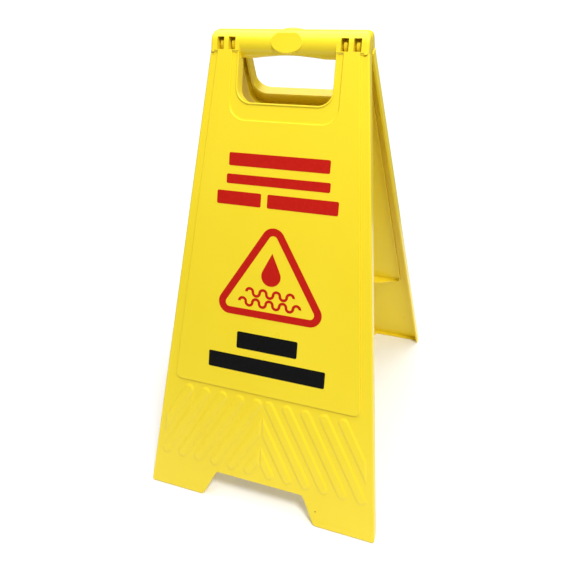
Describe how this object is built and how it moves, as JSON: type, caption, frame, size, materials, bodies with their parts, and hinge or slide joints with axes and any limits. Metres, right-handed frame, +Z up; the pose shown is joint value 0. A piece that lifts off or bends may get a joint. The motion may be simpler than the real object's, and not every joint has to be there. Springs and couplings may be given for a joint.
{
  "type": "folding wet floor sign",
  "caption": "Free-standing folding floor sign: twin moulded panels hinged under a carrying bar, with a hand hole, printed field and chevron apron.",
  "frame": {"origin": "on the floor under the middle of the open sign, below the hinge axis", "axes": "+X along the hinge, to the right as seen from the front panel; +Y from the front panel to the rear panel; +Z up"},
  "size_m": [0.3156, 0.4184, 0.5706],
  "materials": {
    "yellow_plastic": "satin moulded polypropylene",
    "red_ink": "screen printed ink",
    "black_ink": "screen printed ink"
  },
  "bodies": {
    "front": {"front_panel": "yellow_plastic", "front_heading_bars": "red_ink", "front_water_sign": "red_ink", "front_lower_bars": "black_ink"},
    "rear": {"rear_panel": "yellow_plastic", "rear_heading_bars": "red_ink", "rear_water_sign": "red_ink", "rear_lower_bars": "black_ink"}
  },
  "joints": [
    {"name": "fold", "type": "hinge", "parent": "front", "child": "rear", "pos_m": [0, 0, 0.55412], "axis": [-1, 0, 0], "range_deg": [0, 38.8]}
  ]
}
